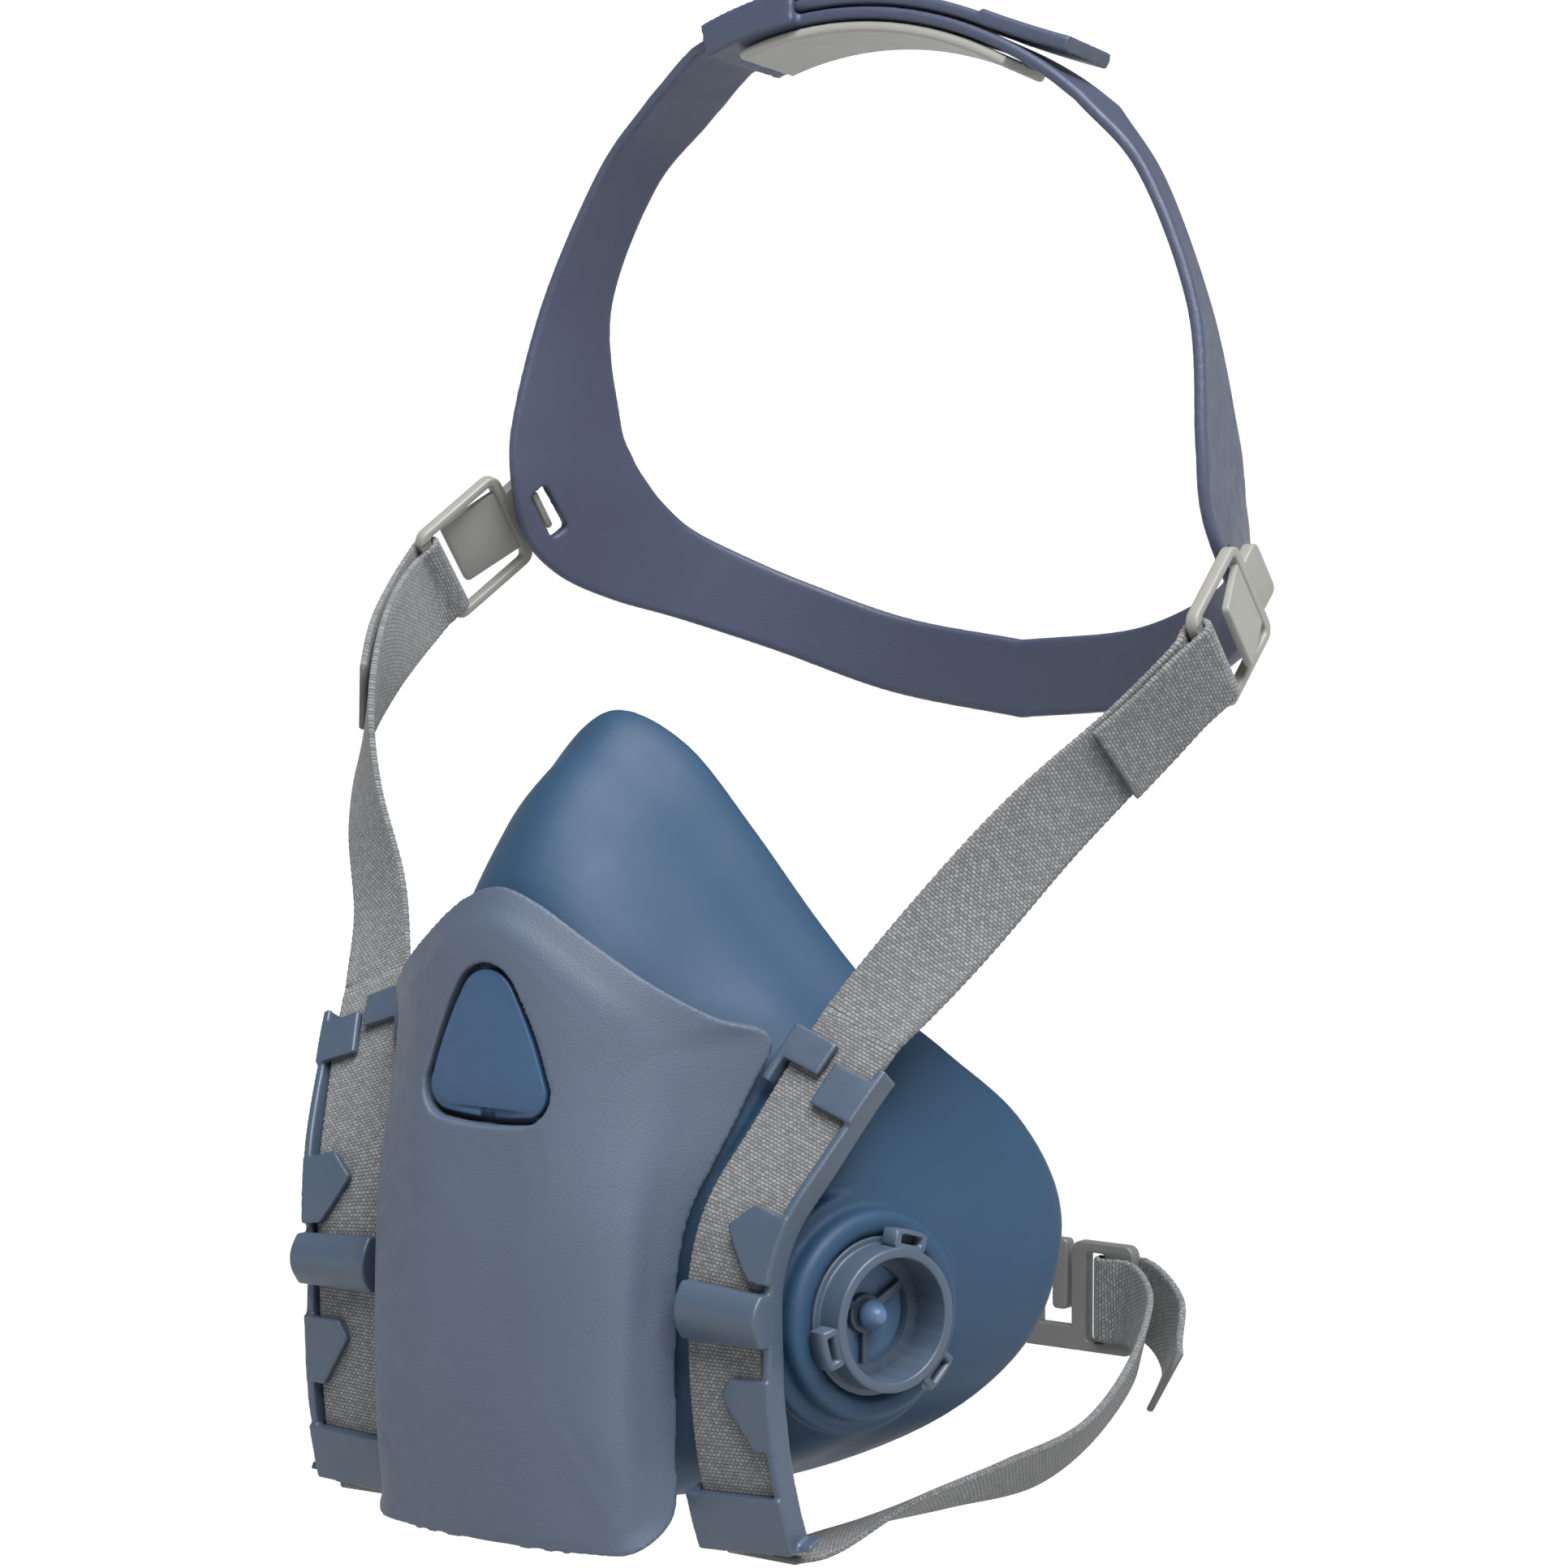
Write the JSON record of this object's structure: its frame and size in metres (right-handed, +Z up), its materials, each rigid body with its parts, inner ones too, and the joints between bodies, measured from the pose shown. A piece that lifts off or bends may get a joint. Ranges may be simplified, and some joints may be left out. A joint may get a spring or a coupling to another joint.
{
  "type": "respirator",
  "caption": "Half-face respirator with silicone facepiece, two bayonet filter ports, front exhalation cover, knit straps and a plastic head cradle.",
  "frame": {"origin": "in the middle plane of the mask, level with the filter ports, where the face seal meets the wearer's cheeks", "axes": "+X to the wearer's left, +Y from the front of the mask towards the back of the head, +Z up as worn"},
  "size_m": [0.1786, 0.175, 0.2692],
  "materials": {
    "facepiece_silicone": "satin, smooth",
    "valve_silicone": "satin, slightly translucent",
    "cover_plastic": "fine moulded grain",
    "frame_plastic": "satin moulded",
    "badge_plastic": "satin",
    "strap_knit": "heather grey elastic knit",
    "cradle_plastic": "fine moulded grain",
    "buckle_plastic": "satin moulded",
    "clasp_plastic": "satin moulded",
    "pad_plastic": "matte"
  },
  "bodies": {
    "mask": {"facepiece": "facepiece_silicone", "centre_cover": "cover_plastic", "size_badge": "badge_plastic", "exhalation_seat": "frame_plastic", "left_port": "frame_plastic", "right_port": "frame_plastic", "left_port_retainer": "frame_plastic", "right_port_retainer": "frame_plastic", "left_strap_rail": "frame_plastic", "right_strap_rail": "frame_plastic", "left_rail_strap": "strap_knit", "right_rail_strap": "strap_knit"},
    "exhalation_flap": {"exhalation_valve": "valve_silicone"},
    "left_inhalation_flap": {"left_inhalation_valve": "valve_silicone"},
    "right_inhalation_flap": {"right_inhalation_valve": "valve_silicone"},
    "harness": {"left_upper_strap": "strap_knit", "right_upper_strap": "strap_knit", "left_cradle_buckle": "buckle_plastic", "right_cradle_buckle": "buckle_plastic"},
    "cradle": {"head_cradle": "cradle_plastic", "crown_pad": "pad_plastic"},
    "crown_slider": {"crown_strip": "cradle_plastic"},
    "left_neck": {"left_neck_strap": "strap_knit", "left_clasp_half": "clasp_plastic"},
    "right_neck": {"right_neck_strap": "strap_knit", "right_clasp_half": "clasp_plastic"}
  },
  "joints": [
    {"name": "exhalation_lift", "type": "slide", "parent": "mask", "child": "exhalation_flap", "axis": [0, -1, 0], "range_m": [0, 0.0015], "stiffness_N_per_m": 30},
    {"name": "left_inhalation_lift", "type": "slide", "parent": "mask", "child": "left_inhalation_flap", "axis": [-0.9659, 0.2588, 0], "range_m": [0, 0.001], "stiffness_N_per_m": 30},
    {"name": "right_inhalation_lift", "type": "slide", "parent": "mask", "child": "right_inhalation_flap", "axis": [0.9659, 0.2588, 0], "range_m": [0, 0.001], "stiffness_N_per_m": 30},
    {"name": "harness_swing", "type": "hinge", "parent": "mask", "child": "harness", "pos_m": [0, -0.0464, 0.0418], "axis": [1, 0, 0], "range_deg": [-15, 70]},
    {"name": "cradle_tilt", "type": "hinge", "parent": "harness", "child": "cradle", "pos_m": [0, 0.0318, 0.1195], "axis": [0.9988, 0.0185, -0.0454], "range_deg": [-6, 6]},
    {"name": "crown_adjust", "type": "hinge", "parent": "cradle", "child": "crown_slider", "pos_m": [0, 0.0335, 0.1335], "axis": [0, 1, 0], "range_deg": [-5.5, 0]},
    {"name": "left_neck_swing", "type": "hinge", "parent": "mask", "child": "left_neck", "pos_m": [0, -0.0603, -0.045], "axis": [1, 0, 0], "range_deg": [-60, 0]},
    {"name": "right_neck_swing", "type": "hinge", "parent": "mask", "child": "right_neck", "pos_m": [0, -0.0603, -0.045], "axis": [1, 0, 0], "range_deg": [0, 12]}
  ]
}
